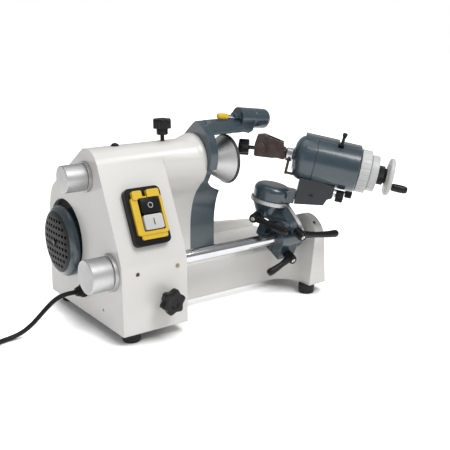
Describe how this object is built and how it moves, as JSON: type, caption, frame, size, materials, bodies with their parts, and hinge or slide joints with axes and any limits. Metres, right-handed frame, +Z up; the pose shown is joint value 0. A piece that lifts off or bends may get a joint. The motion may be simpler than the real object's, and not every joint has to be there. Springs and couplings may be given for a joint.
{
  "type": "drill bit sharpener",
  "caption": "Bench tool and drill grinder: cast headstock with a guarded cup wheel, a round guide bar with a swivelling work head, feed dials, clamp levers, a switch and a mains lead.",
  "frame": {"origin": "centre of the footprint of the machine without its lead, on the plane the rubber feet stand on", "axes": "+X from the feed dials towards the end support, along the wheel spindle and the guide bar; +Y to the back; +Z up"},
  "size_m": [0.916, 0.4519, 0.3948],
  "materials": {
    "abrasive": "dark abrasive grain",
    "aluminium": "satin turned",
    "bar_chrome": "polished round bar",
    "black_paint": "black enamel",
    "black_plastic": "moulded black",
    "blue_paint": "glossy dark blue-grey enamel",
    "brass": "plain turned",
    "burnished": "black-brown oxide",
    "ivory_plastic": "moulded off-white",
    "soft_black": "matt black rubber",
    "steel": "ground and lightly oiled",
    "white_paint": "fine-grained light grey-white enamel on a casting",
    "yellow_plastic": "moulded yellow"
  },
  "bodies": {
    "machine": {"headstock_casting": "white_paint", "bed_casting": "white_paint", "base_plate": "steel", "rubber_feet": "soft_black", "machine_screws": "steel", "brass_screw": "brass", "motor_housing": "black_paint", "fan_cover": "black_plastic", "drive_belt": "soft_black", "dial_bases": "aluminium", "oil_plug": "black_plastic", "switch_box": "black_plastic", "switch_frame": "yellow_plastic", "wheel_guard": "blue_paint", "dresser_block": "blue_paint", "cable_gland": "soft_black", "power_lead": "soft_black", "lead_coil": "soft_black", "mains_plug": "soft_black"},
    "motor_rotor": {"motor_shaft": "steel", "cooling_fan": "black_plastic", "motor_pulley": "aluminium"},
    "spindle_dial": {"spindle_dial": "aluminium"},
    "quill_unit": {"quill": "steel", "spindle_bearings": "steel"},
    "wheel_spindle": {"spindle_shaft": "steel", "spindle_pulley": "aluminium", "wheel_body": "aluminium", "abrasive_rim": "abrasive", "wheel_screw": "steel"},
    "bar_dial": {"bar_dial": "aluminium"},
    "feed_sleeve": {"feed_sleeve": "steel"},
    "guide_bar": {"guide_bar": "bar_chrome"},
    "carriage": {"carriage": "blue_paint"},
    "carriage_lever": {"carriage_lever": "black_plastic"},
    "tilt_head": {"tilt_body": "blue_paint", "scale_rings": "aluminium"},
    "tilt_lever": {"tilt_lever": "black_plastic"},
    "swivel_lever": {"swivel_lever": "black_plastic"},
    "swivel_arm": {"swivel_arm": "blue_paint"},
    "work_head": {"head_bracket": "black_paint", "head_barrel": "blue_paint", "bracket_screws": "steel", "stop_rod": "burnished"},
    "adjust_knob": {"adjust_knob": "black_plastic"},
    "lock_knob": {"lock_knob": "black_plastic"},
    "index_lever": {"index_lever": "black_plastic"},
    "work_spindle": {"work_spindle": "steel", "index_rings": "ivory_plastic", "handwheel": "ivory_plastic", "drill_holder": "burnished"},
    "crank_grip": {"crank_grip": "black_plastic"},
    "holder_knob": {"holder_knob": "black_plastic"},
    "front_star_knob": {"front_star_knob": "black_plastic"},
    "top_star_knob": {"top_star_knob": "black_plastic"},
    "stop_button": {"stop_button": "black_plastic"},
    "start_button": {"start_button": "ivory_plastic"},
    "dresser_knob": {"dresser_knob": "blue_paint"},
    "dresser_shaft": {"dresser_shaft": "steel", "dresser_cap": "yellow_plastic"}
  },
  "joints": [
    {"name": "motor_spin", "type": "hinge", "parent": "machine", "child": "motor_rotor", "pos_m": [-0.1658, 0.139, 0.147], "axis": [1, 0, 0], "continuous": true},
    {"name": "spindle_dial_turn", "type": "hinge", "parent": "machine", "child": "spindle_dial", "pos_m": [-0.2908, 0.036, 0.29], "axis": [1, 0, 0], "range_deg": [-270, 270]},
    {"name": "quill_feed", "type": "slide", "parent": "machine", "child": "quill_unit", "axis": [1, 0, 0], "range_m": [-0.003, 0.003]},
    {"name": "wheel_spin", "type": "hinge", "parent": "quill_unit", "child": "wheel_spindle", "pos_m": [-0.1158, 0.036, 0.29], "axis": [1, 0, 0], "continuous": true},
    {"name": "bar_dial_turn", "type": "hinge", "parent": "machine", "child": "bar_dial", "pos_m": [-0.2908, -0.046, 0.131], "axis": [1, 0, 0], "range_deg": [-360, 360]},
    {"name": "bar_feed", "type": "slide", "parent": "machine", "child": "feed_sleeve", "axis": [1, 0, 0], "range_m": [-0.004, 0.004]},
    {"name": "bar_swing", "type": "hinge", "parent": "feed_sleeve", "child": "guide_bar", "pos_m": [0.0342, -0.046, 0.131], "axis": [1, 0, 0], "range_deg": [-2, 20]},
    {"name": "carriage_slide", "type": "slide", "parent": "guide_bar", "child": "carriage", "axis": [1, 0, 0], "range_m": [-0.004, 0.01]},
    {"name": "carriage_lever_turn", "type": "hinge", "parent": "carriage", "child": "carriage_lever", "pos_m": [0.1292, -0.05877, 0.09696], "axis": [0, -0.8988, -0.4384], "range_deg": [-25, 25]},
    {"name": "tilt_turn", "type": "hinge", "parent": "carriage", "child": "tilt_head", "pos_m": [0.1412, -0.071, 0.175], "axis": [0.775, -0.3864, 0.5], "range_deg": [-8, 4]},
    {"name": "tilt_lever_turn", "type": "hinge", "parent": "tilt_head", "child": "tilt_lever", "pos_m": [0.1222, -0.09505, 0.15537], "axis": [0, -0.8988, -0.4384], "range_deg": [-25, 12]},
    {"name": "swivel_lever_turn", "type": "hinge", "parent": "tilt_head", "child": "swivel_lever", "pos_m": [0.0782, -0.025, 0.177], "axis": [-0.8832, -0.4691, 0], "range_deg": [-4, 20]},
    {"name": "head_swivel", "type": "hinge", "parent": "tilt_head", "child": "swivel_arm", "pos_m": [0.1122, -0.024, 0.206], "axis": [0.1545, -0.1391, 0.9781], "range_deg": [-20, 3]},
    {"name": "adjust_knob_turn", "type": "hinge", "parent": "work_head", "child": "adjust_knob", "pos_m": [0.19878, -0.13156, 0.22201], "axis": [0.7269, -0.6545, -0.2079], "range_deg": [0, 1080]},
    {"name": "head_slide", "type": "slide", "parent": "swivel_arm", "child": "work_head", "axis": [0.7269, -0.6545, -0.2079], "range_m": [0, 0.0045]},
    {"name": "lock_knob_turn", "type": "hinge", "parent": "work_head", "child": "lock_knob", "pos_m": [0.23771, -0.11817, 0.21981], "axis": [0.7269, -0.6545, -0.2079], "range_deg": [-90, 90]},
    {"name": "index_pull", "type": "slide", "parent": "work_head", "child": "index_lever", "axis": [-0.1173, -0.4627, 0.8787], "range_m": [0, 0.004]},
    {"name": "work_spin", "type": "hinge", "parent": "work_head", "child": "work_spindle", "pos_m": [0.20034, -0.10336, 0.28302], "axis": [0.7269, -0.6545, -0.2079], "continuous": true},
    {"name": "crank_spin", "type": "hinge", "parent": "work_spindle", "child": "crank_grip", "pos_m": [0.28389, -0.21088, 0.24022], "axis": [0.7269, -0.6545, -0.2079], "continuous": true},
    {"name": "holder_knob_turn", "type": "hinge", "parent": "work_spindle", "child": "holder_knob", "pos_m": [0.07105, 0.01306, 0.31439], "axis": [0.7418, -0.6679, -0.061], "range_deg": [-180, 180]},
    {"name": "front_knob_turn", "type": "hinge", "parent": "machine", "child": "front_star_knob", "pos_m": [-0.1788, -0.086, 0.076], "axis": [0, -1, 0], "range_deg": [-90, 90]},
    {"name": "top_knob_turn", "type": "hinge", "parent": "machine", "child": "top_star_knob", "pos_m": [-0.1048, 0.036, 0.36], "axis": [0, 0, 1], "range_deg": [-90, 90]},
    {"name": "stop_press", "type": "slide", "parent": "machine", "child": "stop_button", "axis": [0, 0.9063, -0.4226], "range_m": [0, 0.003], "stiffness_N_per_m": 500},
    {"name": "start_press", "type": "slide", "parent": "machine", "child": "start_button", "axis": [0, 0.9063, -0.4226], "range_m": [0, 0.003], "stiffness_N_per_m": 500},
    {"name": "dresser_knob_turn", "type": "hinge", "parent": "machine", "child": "dresser_knob", "pos_m": [0.0722, 0.014, 0.373], "axis": [0.9925, 0, -0.1219], "range_deg": [-360, 360]},
    {"name": "dresser_feed", "type": "slide", "parent": "machine", "child": "dresser_shaft", "axis": [0.9925, 0, -0.1219], "range_m": [-0.002, 0.002]}
  ],
  "couplings": [
    {"joint": "spindle_dial_turn", "follows": "quill_feed", "rad_per_m": 1570.8},
    {"joint": "wheel_spin", "follows": "motor_spin", "ratio": 1.8621},
    {"joint": "bar_dial_turn", "follows": "bar_feed", "rad_per_m": 1570.8},
    {"joint": "adjust_knob_turn", "follows": "head_slide", "rad_per_m": 4188.8},
    {"joint": "dresser_knob_turn", "follows": "dresser_feed", "rad_per_m": 3141.6}
  ]
}
